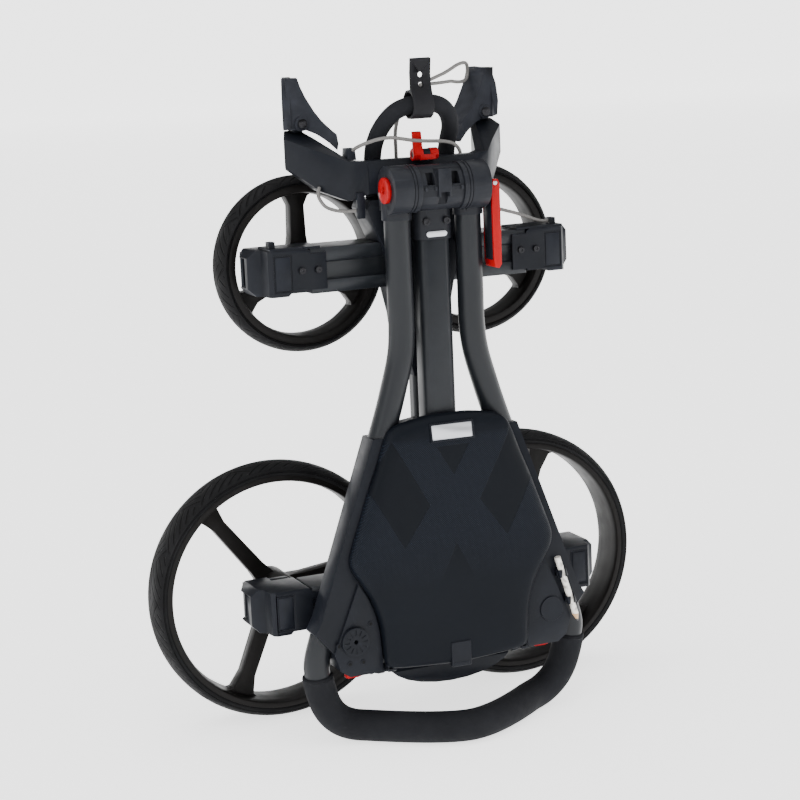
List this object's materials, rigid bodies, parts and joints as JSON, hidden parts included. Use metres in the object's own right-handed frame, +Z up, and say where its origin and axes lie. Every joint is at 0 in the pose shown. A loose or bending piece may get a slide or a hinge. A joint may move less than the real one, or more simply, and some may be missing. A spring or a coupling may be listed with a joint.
{
  "type": "folding golf push cart",
  "caption": "Folded golf push cart with two large and two small wheels, a hinged looped handle, a lidded storage console and a bag bracket.",
  "frame": {"origin": "on the floor under the middle of the folded cart's overall box", "axes": "+X to the side of the release lever, +Y towards the wheels, +Z up from the grip to the bag rest"},
  "size_m": [0.606, 0.242, 0.751],
  "materials": {
    "plastic": "satin",
    "lid_plastic": "fine texture",
    "satin_tube": "satin",
    "steel": "satin",
    "cord": "matte",
    "tyre": "matte",
    "rim": "satin",
    "red_plastic": "gloss",
    "label": "satin",
    "foam": "foam",
    "strap_rubber": "matte",
    "pencil_lacquer": "gloss",
    "pad_rubber": "matte"
  },
  "bodies": {
    "chassis": {"main_tube": "satin_tube", "drum_core": "plastic", "collar_plate": "label", "chassis_screws": "steel", "bracket_bar": "plastic", "bracket_wing_left": "plastic", "bracket_wing_right": "plastic", "pad_pins": "steel", "cord_clip": "plastic", "bar_cord": "cord", "side_cord": "cord", "rear_casting": "plastic", "rear_arms": "satin_tube", "rear_block_left": "plastic", "rear_block_right": "plastic", "fold_pin": "steel"},
    "handle": {"handle_bar": "satin_tube", "drum_half_left": "plastic", "drum_half_right": "plastic", "drum_axle": "steel", "end_cap": "red_plastic", "foam_grip": "foam", "console_tub": "plastic", "console_wing_left": "plastic", "console_wing_right": "plastic", "pencil_clips": "plastic"},
    "lever": {"release_lever": "red_plastic", "lever_insert": "plastic"},
    "lid": {"console_lid": "lid_plastic", "name_plate": "label"},
    "dial": {"accessory_dial": "plastic"},
    "button_left": {"button_left": "red_plastic"},
    "button_right": {"button_right": "red_plastic"},
    "pencil": {"pencil": "pencil_lacquer"},
    "front_frame": {"front_tube": "satin_tube", "front_casting": "plastic", "front_arms": "satin_tube", "front_block_left": "plastic", "front_block_right": "plastic", "front_screws": "steel", "arch_tube": "foam", "arch_strap": "strap_rubber", "strap_cord": "cord", "fold_cable": "cord"},
    "hook": {"cord_hook": "red_plastic"},
    "pad_left": {"pad_left": "pad_rubber"},
    "pad_right": {"pad_right": "pad_rubber"},
    "rear_left_fold": {"rear_left_carrier": "plastic"},
    "rear_right_fold": {"rear_right_carrier": "plastic"},
    "front_left_fold": {"front_left_carrier": "plastic"},
    "front_right_fold": {"front_right_carrier": "plastic"},
    "rear_left_wheel": {"rear_left_rim": "rim", "rear_left_tyre": "tyre"},
    "rear_right_wheel": {"rear_right_rim": "rim", "rear_right_tyre": "tyre"},
    "front_left_wheel": {"front_left_rim": "rim", "front_left_tyre": "tyre"},
    "front_right_wheel": {"front_right_rim": "rim", "front_right_tyre": "tyre"}
  },
  "joints": [
    {"name": "front_fold", "type": "hinge", "parent": "chassis", "child": "front_frame", "pos_m": [0, 0.046, 0.192], "axis": [-1, 0, 0], "range_deg": [0, 130]},
    {"name": "handle_fold", "type": "hinge", "parent": "chassis", "child": "handle", "pos_m": [0, -0.063, 0.613], "axis": [-1, 0, 0], "range_deg": [0, 180]},
    {"name": "lever_swing", "type": "hinge", "parent": "handle", "child": "lever", "pos_m": [0.0665, -0.063, 0.613], "axis": [0, -1, 0], "range_deg": [0, 120]},
    {"name": "lid_hinge", "type": "hinge", "parent": "handle", "child": "lid", "pos_m": [0, -0.062, 0.086], "axis": [1, 0, 0], "range_deg": [0, 85]},
    {"name": "dial_turn", "type": "hinge", "parent": "handle", "child": "dial", "pos_m": [-0.121, -0.069, 0.124], "axis": [0, 1, 0], "range_deg": [-180, 180]},
    {"name": "button_left_press", "type": "slide", "parent": "handle", "child": "button_left", "axis": [0, 0, 1], "range_m": [0, 0.003], "stiffness_N_per_m": 400},
    {"name": "button_right_press", "type": "slide", "parent": "handle", "child": "button_right", "axis": [0, 0, 1], "range_m": [0, 0.003], "stiffness_N_per_m": 400},
    {"name": "pencil_slide", "type": "slide", "parent": "handle", "child": "pencil", "axis": [0.2907, 0, -0.9568], "range_m": [0, 0.04]},
    {"name": "hook_swing", "type": "hinge", "parent": "chassis", "child": "hook", "pos_m": [0.001, -0.037, 0.647], "axis": [1, 0, 0], "range_deg": [-5, 5]},
    {"name": "pad_left_rock", "type": "hinge", "parent": "chassis", "child": "pad_left", "pos_m": [-0.111, 0.061, 0.684], "axis": [0, 1, 0], "range_deg": [-2, 2]},
    {"name": "pad_right_rock", "type": "hinge", "parent": "chassis", "child": "pad_right", "pos_m": [0.111, 0.061, 0.684], "axis": [0, 1, 0], "range_deg": [-2, 2]},
    {"name": "rear_left_swing", "type": "hinge", "parent": "chassis", "child": "rear_left_fold", "pos_m": [-0.196, 0.033, 0.15], "axis": [0, 0, 1], "range_deg": [0, 90]},
    {"name": "rear_left_spin", "type": "hinge", "parent": "rear_left_fold", "child": "rear_left_wheel", "pos_m": [-0.153, 0.095, 0.15], "axis": [0, 1, 0], "continuous": true},
    {"name": "rear_right_swing", "type": "hinge", "parent": "chassis", "child": "rear_right_fold", "pos_m": [0.196, 0.033, 0.15], "axis": [0, 0, -1], "range_deg": [0, 90]},
    {"name": "rear_right_spin", "type": "hinge", "parent": "rear_right_fold", "child": "rear_right_wheel", "pos_m": [0.153, 0.095, 0.15], "axis": [0, 1, 0], "continuous": true},
    {"name": "front_left_swing", "type": "hinge", "parent": "front_frame", "child": "front_left_fold", "pos_m": [-0.178, 0.03, 0.525], "axis": [0, 0, 1], "range_deg": [0, 90]},
    {"name": "front_left_spin", "type": "hinge", "parent": "front_left_fold", "child": "front_left_wheel", "pos_m": [-0.1065, 0.085, 0.525], "axis": [0, 1, 0], "continuous": true},
    {"name": "front_right_swing", "type": "hinge", "parent": "front_frame", "child": "front_right_fold", "pos_m": [0.178, 0.03, 0.525], "axis": [0, 0, -1], "range_deg": [0, 90]},
    {"name": "front_right_spin", "type": "hinge", "parent": "front_right_fold", "child": "front_right_wheel", "pos_m": [0.1065, 0.085, 0.525], "axis": [0, 1, 0], "continuous": true}
  ],
  "couplings": [
    {"joint": "rear_left_swing", "follows": "front_fold", "ratio": 0.6923},
    {"joint": "rear_right_swing", "follows": "front_fold", "ratio": 0.6923},
    {"joint": "front_left_swing", "follows": "front_fold", "ratio": 0.6923},
    {"joint": "front_right_swing", "follows": "front_fold", "ratio": 0.6923}
  ]
}
